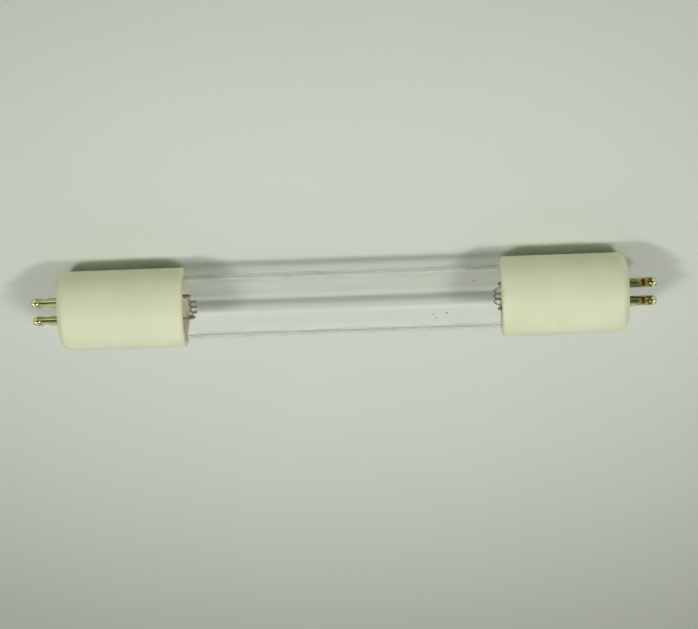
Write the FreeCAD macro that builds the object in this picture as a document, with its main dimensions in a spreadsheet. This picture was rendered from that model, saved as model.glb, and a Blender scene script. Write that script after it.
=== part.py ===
import FreeCAD, Part

import math
import os
import Sketcher

# A double-ended ultraviolet lamp: a clear quartz tube, pressed flat at both ends, set with cement in
# two ceramic bases that carry two contact pins each. The lamp lies along X on the surface z = 0.
# Most pieces of an end are drawn in that end's own frame: x = 0 is the outer face of the base, +x
# runs towards the middle of the lamp, y runs from pin to pin and z across the flat of the seal.

V = FreeCAD.Vector

# name, value in millimetres or degrees, what it measures
SIZES = (
    ("face_to_face", 135, "between the outer faces of the two bases"),
    ("contact_angle", -22.5, "turn of the row of pins about the lamp's axis"),
    ("tube_diameter", 15, "outside of the quartz tube, and width of its pressed seals"),
    ("tube_wall", 1, "wall of the quartz tube"),
    ("seal_length", 9, "flat part of a pressed seal"),
    ("seal_thickness", 3, "across the flats of a pressed seal"),
    ("seal_edge_round", 0.4, "rounding of a seal's end"),
    ("shoulder_length", 6, "from the round tube to the flat seal"),
    ("slit_height", 0.8, "gas space where it runs out in the seal"),
    ("slit_side_wall", 2, "quartz beside that end of the gas space"),
    ("stub_diameter", 3.2, "outside of the melted-off exhaust tube"),
    ("stub_bore", 1.2, "bore of the exhaust tube"),
    ("stub_length", 3, "stub beyond its seal"),
    ("stub_cap", 1.2, "melted quartz that closes the stub"),
    ("stub_round", 1.4, "rounding of the melted tip"),
    ("base_length", 30, "length of a ceramic base"),
    ("base_wall", 1.5, "wall of a base round its bore"),
    ("base_floor", 4, "closed end of a base"),
    ("base_end_round", 2.6, "rounding of a base's closed end"),
    ("base_mouth_round", 0.8, "rounding outside a base's mouth"),
    ("base_mouth_chamfer", 0.25, "chamfer inside a base's mouth"),
    ("base_bore_chamfer", 1, "corner at the bottom of a base's bore"),
    ("cement_gap", 0.5, "ring of cement between tube and base"),
    ("cement_recess", 0.3, "cement below the mouth, at the tube"),
    ("cement_slope", 0.3, "how much lower the cement lies at the bore"),
    ("seal_show", 1.5, "end of the seal that stands out of the cement"),
    ("lead_room", 5, "between the base's floor and the seal"),
    ("pin_spacing", 4.75, "between the axes of the two pins"),
    ("pin_diameter", 2.35, "outside of a pin"),
    ("pin_reach", 7, "pin outside the base"),
    ("pin_bore", 1.4, "bore of the hollow pin"),
    ("shank_diameter", 2.8, "thicker part of a pin, in the base's floor"),
    ("pin_clearance", 0.05, "gap round a pin's shank in its hole"),
    ("nose_round", 0.95, "rounding of a pin's nose"),
    ("neck_from_tip", 1.8, "from the tip to the middle of the neck ring"),
    ("neck_width", 0.6, "width of the neck ring"),
    ("neck_depth", 0.12, "depth of the neck ring"),
    ("crimp_from_tip", 3.4, "from the tip to the middle of the crimp"),
    ("crimp_length", 2, "length of a crimp mark along the pin"),
    ("crimp_depth", 0.35, "depth of a crimp mark"),
    ("crimp_turn_left", 60, "turn of the crimps about the left pins"),
    ("crimp_turn_right", 25, "turn of the crimps about the right pins"),
    ("flange_diameter", 3.6, "head of a pin inside its base"),
    ("flange_thickness", 0.6, "thickness of that head"),
    ("lead_diameter", 0.6, "outer lead wire"),
    ("lead_straight", 0.9, "straight wire at each end of a lead's bend"),
    ("foil_inset", 1.5, "from the seal's end to its foil"),
    ("foil_length", 6, "length of a foil"),
    ("foil_width", 2.5, "width of a foil"),
    ("foil_thickness", 0.05, "thickness of a foil"),
    ("weld_length", 1.2, "flattened wire end that lies on the foil"),
    ("post_spacing", 6, "between the two electrode posts"),
    ("post_diameter", 0.6, "electrode post wire"),
    ("post_short_left_front", 1.1, "from the hook of the left end's front post to the coil's axis"),
    ("post_short_left_rear", 0.5, "the same for the left end's rear post"),
    ("post_short_right_front", 0.9, "the same for the right end's front post"),
    ("post_short_right_rear", 0.8, "the same for the right end's rear post"),
    ("hook_leg", 0.9, "returning leg of a post's hook"),
    ("coil_diameter", 1.85, "outside of the coil"),
    ("coil_wire", 0.4, "thickness of the coiled wire"),
    ("coil_pitch", 1.4, "from turn to turn"),
    ("coil_whole_turns", 2, "whole turns, beside the half turn that brings both tails to the posts"),
    ("coil_reach_left", 1.7, "from the left mouth to the coil's axis"),
    ("coil_reach_right", 0.8, "from the right mouth to the coil's axis"),
    ("tail_past_post", 0.5, "end of a coil's tail beyond its post"),
    ("tail_in_hook", 0.45, "straight tail on the coil's side of its post"),
    ("droplet_diameter", 0.5, "a middling droplet of mercury"),
)

# Each mercury droplet: its place along the half lamp, as a share from the middle to the face, its
# angle round the tube from straight below, positive towards +Y, and its size beside a middling one.
DROPLETS = (
    (0.315, -86, 0.85),
    (0.325, -99, 1.1),
    (0.365, -84, 1.0),
    (0.465, -6, 0.9),
)

COIL_SIDES = 8
SAME_PLACE = 1e-4

# Measures that several pieces share, written once as formulas on the sheet.
TUBE_R = "Sizes.tube_diameter / 2"
GAS_R = f"({TUBE_R} - Sizes.tube_wall)"
SEAL_HALF = "Sizes.seal_thickness / 2"
BORE_R = f"({TUBE_R} + Sizes.cement_gap)"
BASE_R = f"({BORE_R} + Sizes.base_wall)"
HALF_LAMP = "Sizes.face_to_face / 2"
SEAL_END = "(Sizes.base_floor + Sizes.lead_room)"
SEAL_ROOT = f"({SEAL_END} + Sizes.seal_length)"
ROUND_FROM = f"({SEAL_ROOT} + Sizes.shoulder_length)"
FOIL_OUTER = f"({SEAL_END} + Sizes.foil_inset)"
FOIL_INNER = f"({FOIL_OUTER} + Sizes.foil_length)"
PIN_R = "Sizes.pin_diameter / 2"
SHANK_R = "Sizes.shank_diameter / 2"
LEAD_R = "Sizes.lead_diameter / 2"
POST_R = "Sizes.post_diameter / 2"
HOOK_R = "(Sizes.post_diameter + Sizes.coil_wire) / 2"
CRIMP_START = "(-Sizes.pin_reach + Sizes.crimp_from_tip + Sizes.crimp_length / 2)"
CRIMP_END = "(-Sizes.pin_reach + Sizes.crimp_from_tip - Sizes.crimp_length / 2)"

LAMP_PLACE = f"placement(vector(0; 0; {BASE_R}); rotationx(Sizes.contact_angle))"
ENDS = {
    "left": f"placement(vector(-{HALF_LAMP}; 0; {BASE_R}); rotationx(Sizes.contact_angle))",
    "right": (
        f"placement(vector({HALF_LAMP}; 0; {BASE_R});"
        " rotationx(Sizes.contact_angle) * rotationz(180))"
    ),
}

# The two rows of an end are each other turned half round the lamp's axis.
ROW_TURNS = {"left": {"front": 0, "rear": 180}, "right": {"front": 180, "rear": 0}}

doc = FreeCAD.newDocument("LampTube")
sheet = doc.addObject("Spreadsheet::Sheet", "Sizes")


def fill_sheet():
    """Write every driving size to the sheet, with its name as the cell's alias."""
    for row, (alias, number, note) in enumerate(SIZES, start=1):
        sheet.set(f"A{row}", note)
        sheet.set(f"B{row}", str(number))
        sheet.setAlias(f"B{row}", alias)
    doc.recompute()


def size(formula):
    """The number that a formula on the sheet gives now."""
    return float(sheet.evalExpression(formula.replace("Sizes.", "")))


def new_body(label, place):
    """An empty body with its own label and place in the lamp."""
    body = doc.addObject("PartDesign::Body", label)
    body.Label = label
    body.setExpression("Placement", place)
    return body


def new_sketch(body, name, role, offset="0"):
    """A sketch on one of the body's origin planes, moved along the plane's normal."""
    sketch = body.newObject("Sketcher::SketchObject", name)
    plane = next(f for f in body.Origin.OriginFeatures if f.Role == role)
    sketch.AttachmentSupport = (plane, [""])
    sketch.MapMode = "FlatFace"
    sketch.setExpression("AttachmentOffset.Base.z", offset)
    return sketch


def bind(sketch, kind, *where, formula):
    """Add a dimension to the sketch and bind it to the sheet."""
    index = sketch.addConstraint(Sketcher.Constraint(kind, *where, size(formula)))
    sketch.setExpression(f"Constraints[{index}]", formula)


def fix_point(sketch, geometry, end, x, y):
    """Place one end or centre of a geometry by its two coordinates."""
    bind(sketch, "DistanceX", -1, 1, geometry, end, formula=x)
    bind(sketch, "DistanceY", -1, 1, geometry, end, formula=y)


def add_polygon(sketch, corners):
    """A closed outline through corners, each a pair of formulas."""
    spots = [V(size(x), size(y), 0) for x, y in corners]
    lines = [
        sketch.addGeometry(Part.LineSegment(a, b))
        for a, b in zip(spots, spots[1:] + spots[:1])
    ]
    for line, after in zip(lines, lines[1:] + lines[:1]):
        sketch.addConstraint(Sketcher.Constraint("Coincident", line, 2, after, 1))
    for line, (x, y) in zip(lines, corners):
        fix_point(sketch, line, 1, x, y)


def add_circle(sketch, x, y, radius):
    """A circle with its centre and radius bound to the sheet."""
    centre = V(size(x), size(y), 0)
    circle = sketch.addGeometry(Part.Circle(centre, V(0, 0, 1), size(radius)))
    fix_point(sketch, circle, 3, x, y)
    bind(sketch, "Radius", circle, formula=radius)


def end_at(sketch, geometry, spot):
    """Which end of a geometry, 1 or 2, lies at a spot."""
    ends = (sketch.getPoint(geometry, 1), sketch.getPoint(geometry, 2))
    return 1 if ends[0].distanceToPoint(spot) < ends[1].distanceToPoint(spot) else 2


def join(sketch, kind, first, second, spot):
    """Join two geometries where they meet at a spot, with or without a common tangent."""
    ends = (first, end_at(sketch, first, spot), second, end_at(sketch, second, spot))
    sketch.addConstraint(Sketcher.Constraint(kind, *ends))


def add_slot(sketch, half_width, half_height):
    """A flat outline with round ends, centred on the origin."""
    straight = f"({half_width} - {half_height})"
    w, c, r = size(half_width), size(straight), size(half_height)
    corners = (V(-c, -r, 0), V(c, -r, 0), V(c, r, 0), V(-c, r, 0))
    low = sketch.addGeometry(Part.LineSegment(corners[0], corners[1]))
    right = sketch.addGeometry(Part.Arc(corners[1], V(w, 0, 0), corners[2]))
    high = sketch.addGeometry(Part.LineSegment(corners[2], corners[3]))
    left = sketch.addGeometry(Part.Arc(corners[3], V(-w, 0, 0), corners[0]))
    for first, second, spot in zip((left, low, right, high), (low, right, high, left), corners):
        join(sketch, "Coincident", first, second, spot)
    fix_point(sketch, low, 1, f"-{straight}", f"-{half_height}")
    fix_point(sketch, low, 2, straight, f"-{half_height}")
    fix_point(sketch, high, 1, straight, half_height)
    fix_point(sketch, high, 2, f"-{straight}", half_height)
    bind(sketch, "DistanceX", -1, 1, right, 3, formula=straight)
    bind(sketch, "DistanceX", -1, 1, left, 3, formula=f"-{straight}")


def add_paired_circle(sketch, radius, half_width, half_height):
    """A circle in four arcs that meet on the rays to a slot's corners, so that a loft pairs the two."""
    straight = f"({half_width} - {half_height})"
    to_corner = f"sqrt({straight} * {straight} + {half_height} * {half_height})"
    across = f"({radius} * {straight} / {to_corner})"
    up = f"({radius} * {half_height} / {to_corner})"
    x, y, r = size(across), size(up), size(radius)
    corners = (V(-x, -y, 0), V(x, -y, 0), V(x, y, 0), V(-x, y, 0))
    crowns = (V(0, -r, 0), V(r, 0, 0), V(0, r, 0), V(-r, 0, 0))
    arcs = [
        sketch.addGeometry(Part.Arc(start, crown, finish))
        for start, crown, finish in zip(corners, crowns, corners[1:] + corners[:1])
    ]
    for first, second, spot in zip(arcs[-1:] + arcs[:-1], arcs, corners):
        join(sketch, "Coincident", first, second, spot)
    quarters = (("-", "-"), ("", "-"), ("", ""), ("-", ""))
    for arc, spot, (x_sign, y_sign) in zip(arcs, corners, quarters):
        fix_point(sketch, arc, end_at(sketch, arc, spot), f"{x_sign}{across}", f"{y_sign}{up}")
    for arc, kind in zip(arcs, ("DistanceY", "DistanceX", "DistanceY", "DistanceX")):
        bind(sketch, kind, -1, 1, arc, 3, formula="0")


def add_pad(body, name, sketch, length, backwards=False):
    """Pad a sketch by a bound length."""
    pad = body.newObject("PartDesign::Pad", name)
    pad.Profile = sketch
    pad.Reversed = backwards
    pad.setExpression("Length", length)
    return pad


def add_pocket(body, name, sketch, length, both_ways=False):
    """Cut a sketch by a bound length, from its plane or to both sides of it."""
    pocket = body.newObject("PartDesign::Pocket", name)
    pocket.Profile = sketch
    pocket.SideType = "Symmetric" if both_ways else "One side"
    pocket.setExpression("Length", length)


def add_turning(body, name, sketch, kind="Revolution"):
    """Turn a profile a whole turn about the body's x axis."""
    turning = body.newObject(f"PartDesign::{kind}", name)
    turning.Profile = sketch
    turning.ReferenceAxis = (sketch, ["H_Axis"])
    turning.Angle = 360
    return turning


def add_loft(body, name, first, last):
    """Join two closed sketches by a loft that adds to the body."""
    loft = body.newObject("PartDesign::AdditiveLoft", name)
    loft.Profile = first
    loft.Sections = [last]
    return loft


def add_pipe(body, name, profile, path):
    """Sweep a profile along a path sketch."""
    pipe = body.newObject("PartDesign::AdditivePipe", name)
    pipe.Profile = profile
    pipe.Spine = (path, [])
    return pipe


def ring_edges(feature, x, radius):
    """Names of the circular edges about the x axis with this place and radius."""
    names = []
    for number, edge in enumerate(feature.Shape.Edges, start=1):
        curve = edge.Curve
        if not isinstance(curve, Part.Circle):
            continue
        off_axis = math.hypot(curve.Center.y, curve.Center.z)
        if max(abs(curve.Center.x - x), off_axis, abs(curve.Radius - radius)) < SAME_PLACE:
            names.append(f"Edge{number}")
    return names


def soften(body, kind, name, base, edges, measure):
    """Fillet or chamfer edges of the last feature by a bound measure."""
    feature = body.newObject(f"PartDesign::{kind}", name)
    feature.Base = (base, edges)
    feature.setExpression("Radius" if kind == "Fillet" else "Size", measure)
    doc.recompute()
    return feature


def round_to_flat(body, name, radius, half_width, half_height, round_at, flat_at):
    """One end of a drawn-down tube: a loft from its round section to its flat one."""
    circle = new_sketch(body, f"{name}_round", "YZ_Plane", round_at)
    add_paired_circle(circle, radius, half_width, half_height)
    slot = new_sketch(body, f"{name}_flat", "YZ_Plane", flat_at)
    add_slot(slot, half_width, half_height)
    add_loft(body, f"{name}_shoulder", circle, slot)
    return slot


def glass_form():
    """The outer form of the quartz: round tube, two shoulders, two pressed seals and the stub."""
    body = new_body("glass_form", LAMP_PLACE)
    round_half = f"({HALF_LAMP} - {ROUND_FROM})"
    barrel = new_sketch(body, "glass_barrel", "YZ_Plane", f"-{round_half}")
    add_circle(barrel, "0", "0", TUBE_R)
    add_pad(body, "glass_tube", barrel, f"2 * {round_half}")
    for side, sign in (("left", "-"), ("right", "")):
        flat = round_to_flat(
            body, f"glass_{side}", TUBE_R, TUBE_R, SEAL_HALF,
            f"{sign}{round_half}", f"{sign}({HALF_LAMP} - {SEAL_ROOT})",
        )
        seal = add_pad(body, f"glass_{side}_seal", flat, "Sizes.seal_length", side == "left")
        doc.recompute()
        end_x = (-1 if side == "left" else 1) * (size(HALF_LAMP) - size(SEAL_END))
        rim = [
            f"Edge{number}"
            for number, edge in enumerate(seal.Shape.Edges, start=1)
            if all(abs(vertex.X - end_x) < SAME_PLACE for vertex in edge.Vertexes)
        ]
        soften(body, "Fillet", f"glass_{side}_rim", seal, rim, "Sizes.seal_edge_round")
    stub = new_sketch(body, "stub_outline", "YZ_Plane", f"-({HALF_LAMP} - {SEAL_END})")
    add_circle(stub, "0", "0", "Sizes.stub_diameter / 2")
    drawn = add_pad(body, "stub_tube", stub, "Sizes.stub_length", True)
    doc.recompute()
    tip_x = -(size(HALF_LAMP) - size(SEAL_END) + size("Sizes.stub_length"))
    tip = ring_edges(drawn, tip_x, size("Sizes.stub_diameter") / 2)
    soften(body, "Fillet", "stub_tip", drawn, tip, "Sizes.stub_round")
    return body


def gas_space():
    """The space inside the quartz, with the closed channel of the exhaust tube."""
    body = new_body("gas_space", LAMP_PLACE)
    round_half = f"({HALF_LAMP} - {ROUND_FROM})"
    barrel = new_sketch(body, "gas_barrel", "YZ_Plane", f"-{round_half}")
    add_circle(barrel, "0", "0", GAS_R)
    add_pad(body, "gas_tube", barrel, f"2 * {round_half}")
    half_width = f"({TUBE_R} - Sizes.slit_side_wall)"
    for side, sign in (("left", "-"), ("right", "")):
        round_to_flat(
            body, f"gas_{side}", GAS_R, half_width, "Sizes.slit_height / 2",
            f"{sign}{round_half}", f"{sign}({HALF_LAMP} - {SEAL_ROOT})",
        )
    channel = new_sketch(body, "stub_channel", "YZ_Plane", f"-({HALF_LAMP} - {SEAL_ROOT})")
    add_circle(channel, "0", "0", "Sizes.stub_bore / 2")
    depth = "Sizes.seal_length + Sizes.stub_length - Sizes.stub_cap"
    add_pad(body, "stub_bore", channel, depth, True)
    return body


def ceramic_base(label, end):
    """A glazed ceramic cup with two pin holes, each countersunk inside for the pin's head."""
    body = new_body(label, end)
    profile = new_sketch(body, f"{label}_profile", "XY_Plane")
    length = "Sizes.base_length"
    add_polygon(profile, (
        ("0", "0"), ("0", BASE_R), (length, BASE_R), (length, BORE_R),
        ("Sizes.base_floor", BORE_R), ("Sizes.base_floor", "0"),
    ))
    cup = add_turning(body, f"{label}_cup", profile)
    doc.recompute()
    floor_x, mouth_x = size("Sizes.base_floor"), size(length)
    work = (
        ("Fillet", "end", 0, BASE_R, "Sizes.base_end_round"),
        ("Fillet", "mouth", mouth_x, BASE_R, "Sizes.base_mouth_round"),
        ("Chamfer", "lip", mouth_x, BORE_R, "Sizes.base_mouth_chamfer"),
        ("Chamfer", "bottom", floor_x, BORE_R, "Sizes.base_bore_chamfer"),
    )
    for kind, part, x, radius, measure in work:
        edges = ring_edges(cup, x, size(radius))
        cup = soften(body, kind, f"{label}_{part}", cup, edges, measure)
    cuts = (
        ("holes", f"({SHANK_R} + Sizes.pin_clearance)", "Sizes.base_floor"),
        ("seats", "Sizes.flange_diameter / 2", "Sizes.flange_thickness"),
    )
    for part, radius, depth in cuts:
        outline = new_sketch(body, f"{label}_{part}_outline", "YZ_Plane", "Sizes.base_floor")
        for row in ("-", ""):
            add_circle(outline, f"{row}Sizes.pin_spacing / 2", "0", radius)
        add_pocket(body, f"{label}_{part}", outline, depth)
    return body


def contact_pin(label, place, turn):
    """A hollow pin: head, shank and barrel with neck ring and round nose, crimped on its lead."""
    own_place = f"{place} * placement(vector(0; Sizes.pin_spacing / 2; 0); rotationx({turn}))"
    body = new_body(label, own_place)
    floor, tip = "Sizes.base_floor", "-Sizes.pin_reach"
    head = f"({floor} - Sizes.flange_thickness)"
    profile = new_sketch(body, f"{label}_profile", "XY_Plane")
    add_polygon(profile, (
        (floor, "Sizes.pin_bore / 2"), (floor, "Sizes.flange_diameter / 2"),
        (head, "Sizes.flange_diameter / 2"), (head, SHANK_R), ("0", SHANK_R), ("0", PIN_R),
        (tip, PIN_R), (tip, "0"), (CRIMP_END, "0"), (CRIMP_END, LEAD_R), (CRIMP_START, LEAD_R),
        (CRIMP_START, "Sizes.pin_bore / 2"),
    ))
    barrel = add_turning(body, f"{label}_barrel", profile)
    doc.recompute()
    tip_edges = ring_edges(barrel, size(tip), size(PIN_R))
    soften(body, "Fillet", f"{label}_nose", barrel, tip_edges, "Sizes.nose_round")
    neck = f"({tip} + Sizes.neck_from_tip)"
    low, high = f"({neck} - Sizes.neck_width / 2)", f"({neck} + Sizes.neck_width / 2)"
    ring = new_sketch(body, f"{label}_neck_outline", "XY_Plane")
    rim = f"({PIN_R} + Sizes.neck_depth)"
    add_polygon(ring, (
        (low, rim), (low, PIN_R), (neck, f"({PIN_R} - Sizes.neck_depth)"), (high, PIN_R), (high, rim),
    ))
    add_turning(body, f"{label}_neck", ring, "Groove")
    half, depth = "Sizes.crimp_length / 2", "Sizes.crimp_depth"
    jaw = f"(({half} * {half} + {depth} * {depth}) / (2 * {depth}))"
    middle = f"({tip} + Sizes.crimp_from_tip)"
    marks = new_sketch(body, f"{label}_crimp_outline", "XZ_Plane")
    for face in ("-", ""):
        add_circle(marks, middle, f"{face}({PIN_R} - {depth} + {jaw})", jaw)
    add_pocket(body, f"{label}_crimp", marks, "2 * Sizes.pin_diameter", both_ways=True)
    return body


def flatten_weld(body, label, low_x, high_x, wire_r):
    """Press a wire flat on its underside over the stretch that lies on the foil."""
    outline = new_sketch(body, f"{label}_weld_outline", "XZ_Plane", "-Sizes.post_spacing / 2")
    under = f"-2 * {wire_r}"
    add_polygon(outline, ((low_x, under), (high_x, under), (high_x, "0"), (low_x, "0")))
    add_pocket(body, f"{label}_weld", outline, f"4 * {wire_r}", both_ways=True)


def electrode_post(label, place, reach, short):
    """A post from its foil to the coil, with its tip bent in a hook round the coil's tail."""
    body = new_body(label, place)
    start = f"({FOIL_INNER} - Sizes.weld_length)"
    hook = f"(Sizes.base_length + {reach} - {short})"
    back = f"({hook} - Sizes.hook_leg)"
    path = new_sketch(body, f"{label}_path", "XZ_Plane", "-Sizes.post_spacing / 2")
    r, x0, x1, x2 = size(HOOK_R), size(start), size(hook), size(back)
    shaft = path.addGeometry(Part.LineSegment(V(x0, 0, 0), V(x1, 0, 0)))
    bend = path.addGeometry(Part.Arc(V(x1, 0, 0), V(x1 + r, r, 0), V(x1, 2 * r, 0)))
    leg = path.addGeometry(Part.LineSegment(V(x1, 2 * r, 0), V(x2, 2 * r, 0)))
    join(path, "Coincident", shaft, bend, V(x1, 0, 0))
    join(path, "Tangent", bend, leg, V(x1, 2 * r, 0))
    fix_point(path, shaft, 1, start, "0")
    fix_point(path, shaft, 2, hook, "0")
    fix_point(path, bend, 3, hook, HOOK_R)
    bind(path, "DistanceX", -1, 1, leg, 1, formula=hook)
    bind(path, "DistanceX", -1, 1, leg, 2, formula=back)
    wire = new_sketch(body, f"{label}_wire", "YZ_Plane", start)
    add_circle(wire, "Sizes.post_spacing / 2", "0", POST_R)
    add_pipe(body, f"{label}_bent", wire, path)
    flatten_weld(body, label, f"({start} - {POST_R})", FOIL_INNER, POST_R)
    return body


def outer_lead(label, place):
    """The wire from a foil's outer end, by one double bend, into the bore of its pin."""
    body = new_body(label, place)
    inner = f"({FOIL_OUTER} + Sizes.weld_length)"
    seal_bend = f"({SEAL_END} - Sizes.lead_straight)"
    pin_bend = "(Sizes.base_floor + Sizes.lead_straight)"
    high, low = "Sizes.post_spacing / 2", "Sizes.pin_spacing / 2"
    path = new_sketch(body, f"{label}_path", "XY_Plane")
    x0, x1, x2, x3 = (size(x) for x in (inner, seal_bend, pin_bend, CRIMP_END))
    y0, y1 = size(high), size(low)
    run, rise = x1 - x2, y0 - y1
    radius = (run ** 2 + rise ** 2) / (4 * rise)
    half_bend = math.atan2(run / 2, radius - rise / 2) / 2
    along, across = radius * math.sin(half_bend), radius * (1 - math.cos(half_bend))
    leave, middle, arrive = V(x1, y0, 0), V((x1 + x2) / 2, (y0 + y1) / 2, 0), V(x2, y1, 0)
    first = V(x1 - along, y0 - across, 0)
    second = V(x2 + along, y1 + across, 0)
    seal_run = path.addGeometry(Part.LineSegment(V(x0, y0, 0), leave))
    out_bend = path.addGeometry(Part.Arc(leave, first, middle))
    in_bend = path.addGeometry(Part.Arc(middle, second, arrive))
    pin_run = path.addGeometry(Part.LineSegment(arrive, V(x3, y1, 0)))
    join(path, "Tangent", seal_run, out_bend, leave)
    join(path, "Tangent", out_bend, in_bend, middle)
    join(path, "Tangent", in_bend, pin_run, arrive)
    path.addConstraint(Sketcher.Constraint("Equal", out_bend, in_bend))
    path.addConstraint(Sketcher.Constraint("Horizontal", seal_run))
    path.addConstraint(Sketcher.Constraint("Horizontal", pin_run))
    fix_point(path, seal_run, 1, inner, high)
    bind(path, "DistanceX", -1, 1, seal_run, 2, formula=seal_bend)
    bind(path, "DistanceX", -1, 1, pin_run, 1, formula=pin_bend)
    fix_point(path, pin_run, 2, CRIMP_END, low)
    wire = new_sketch(body, f"{label}_wire", "YZ_Plane", inner)
    add_circle(wire, high, "0", LEAD_R)
    add_pipe(body, f"{label}_bent", wire, path)
    flatten_weld(body, label, FOIL_OUTER, f"({inner} + {LEAD_R})", LEAD_R)
    return body


def seal_foil(label, place):
    """The thin strip that carries the current through the pressed quartz."""
    foil = doc.addObject("Part::Box", label)
    foil.Label = label
    foil.setExpression("Length", "Sizes.foil_length")
    foil.setExpression("Width", "Sizes.foil_width")
    foil.setExpression("Height", "Sizes.foil_thickness")
    side = "(Sizes.post_spacing - Sizes.foil_width) / 2"
    spot = f"vector({FOIL_OUTER}; {side}; -Sizes.foil_thickness)"
    foil.setExpression("Placement", f"{place} * placement({spot}; rotationx(0))")
    return foil


def filament(label, place, reach, shorts):
    """The coiled wire across the two posts: a helix whose ends run out into two straight tails."""
    wire_r = size("Sizes.coil_wire") / 2
    radius = size("Sizes.coil_diameter") / 2 - wire_r
    length = (size("Sizes.coil_whole_turns") + 0.5) * size("Sizes.coil_pitch")
    coil_x = size(f"Sizes.base_length + {reach}")
    coil = Part.makeLongHelix(size("Sizes.coil_pitch"), length, radius, -1, True)
    coil.Placement = FreeCAD.Placement(
        V(coil_x, -length / 2, 0), FreeCAD.Rotation(V(0, 0, -1), V(-1, 0, 0), V(0, 1, 0), "XZY")
    )
    low_x, high_x = (coil_x - size(short) for short in shorts)
    hook_z, post_y = size(HOOK_R), size("Sizes.post_spacing") / 2
    bent_y = post_y - size("Sizes.tail_in_hook")
    tip_y = post_y + size("Sizes.tail_past_post")
    first, last = coil.Edges[0], coil.Edges[-1]
    coil_in, coil_out = first.valueAt(first.FirstParameter), last.valueAt(last.LastParameter)
    way_in, way_out = first.tangentAt(first.FirstParameter), last.tangentAt(last.LastParameter)
    run = abs(bent_y - length / 2) / 2
    tail_in, tail_out = V(low_x, -bent_y, -hook_z), V(high_x, bent_y, hook_z)
    along = V(0, run, 0)
    bend_in, bend_out = Part.BezierCurve(), Part.BezierCurve()
    bend_in.setPoles([tail_in, tail_in + along, coil_in - way_in * run, coil_in])
    bend_out.setPoles([coil_out, coil_out + way_out * run, tail_out - along, tail_out])
    start, finish = V(low_x, -tip_y, -hook_z), V(high_x, tip_y, hook_z)
    path = Part.Wire([
        Part.LineSegment(start, tail_in).toShape(), bend_in.toShape(), *coil.Edges,
        bend_out.toShape(), Part.LineSegment(tail_out, finish).toShape(),
    ])
    step = 2 * math.pi / COIL_SIDES
    rim = [
        start + V(wire_r * math.cos(step * side), 0, wire_r * math.sin(step * side))
        for side in range(COIL_SIDES)
    ]
    section = Part.makePolygon(rim + rim[:1])
    feature = doc.addObject("Part::Feature", label)
    feature.Label = label
    feature.Shape = path.makePipeShell([section], True, False)
    feature.setExpression("Placement", place)
    return feature


def cement_plug(label, place, glass):
    """The cement that fills a base round the tube and its seal, sloping down from the glass."""
    blank = new_body(f"{label}_blank", place)
    profile = new_sketch(blank, f"{label}_profile", "XY_Plane")
    foot = f"({SEAL_END} + Sizes.seal_show)"
    crest = "(Sizes.base_length - Sizes.cement_recess)"
    add_polygon(profile, (
        (foot, "0"), (foot, BORE_R), (f"({crest} - Sizes.cement_slope)", BORE_R),
        (crest, TUBE_R), (crest, "0"),
    ))
    add_turning(blank, f"{label}_fill", profile)
    plug = doc.addObject("Part::Cut", label)
    plug.Label = label
    plug.Base = blank
    plug.Tool = glass
    return plug


def mercury_droplets(label):
    """Small balls of mercury that cling to the inner wall of the tube."""
    drops = []
    for number, (share, angle, likeness) in enumerate(DROPLETS, start=1):
        drop = doc.addObject("Part::Sphere", f"droplet_{number}")
        radius = f"{likeness} * Sizes.droplet_diameter / 2"
        drop.setExpression("Radius", radius)
        along, swing = f"{share} * {HALF_LAMP}", f"({GAS_R} - {radius})"
        spot = f"vector({along}; {swing} * sin({angle}); {BASE_R} - {swing} * cos({angle}))"
        drop.setExpression("Placement", f"placement({spot}; rotationx(0))")
        drops.append(drop)
    group = doc.addObject("Part::Compound", label)
    group.Label = label
    group.Links = drops
    return group


def quartz_envelope(label, glass, gas, sealed_in):
    """The glass form less the gas space and everything that the quartz was pressed round."""
    core = doc.addObject("Part::MultiFuse", "envelope_core")
    core.Shapes = [gas, *sealed_in]
    envelope = doc.addObject("Part::Cut", label)
    envelope.Label = label
    envelope.Base = glass
    envelope.Tool = core
    return envelope


def check(pieces):
    """Stop if an object failed, a cut cut nothing, or a piece isn't the closed solids it should be."""
    for item in doc.Objects:
        if {"Invalid", "Error"} & set(item.State):
            raise RuntimeError(f"{item.Name} failed: {item.State}")
        if item.TypeId in ("PartDesign::Pocket", "PartDesign::Groove"):
            if item.Shape.Volume >= item.BaseFeature.Shape.Volume:
                raise RuntimeError(f"{item.Name} cuts nothing")
    for piece, solids in pieces:
        shape = piece.Shape
        if shape.isNull() or not shape.isValid() or len(shape.Solids) != solids:
            raise RuntimeError(f"{piece.Label} isn't {solids} valid closed solids")


def build_end(side, glass):
    """Every piece of one end: base, cement, coil, and the two rows of pin, lead, foil and post."""
    end, reach = ENDS[side], f"Sizes.coil_reach_{side}"
    turns = ROW_TURNS[side]
    from_low_y = sorted(turns, key=turns.get, reverse=True)
    shorts = [f"Sizes.post_short_{side}_{row}" for row in from_low_y]
    pieces = [
        ceramic_base(f"ceramic_base_{side}", end),
        cement_plug(f"cement_{side}", end, glass),
        filament(f"filament_{side}", end, reach, shorts),
    ]
    sealed_in = []
    for row, turn in turns.items():
        place = f"{end} * placement(vector(0; 0; 0); rotationx({turn}))"
        short = f"Sizes.post_short_{side}_{row}"
        pieces.append(contact_pin(f"contact_pin_{side}_{row}", place, f"Sizes.crimp_turn_{side}"))
        sealed_in += [
            outer_lead(f"outer_lead_{side}_{row}", place),
            seal_foil(f"seal_foil_{side}_{row}", place),
            electrode_post(f"electrode_post_{side}_{row}", place, reach, short),
        ]
    return pieces + sealed_in, sealed_in


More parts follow.
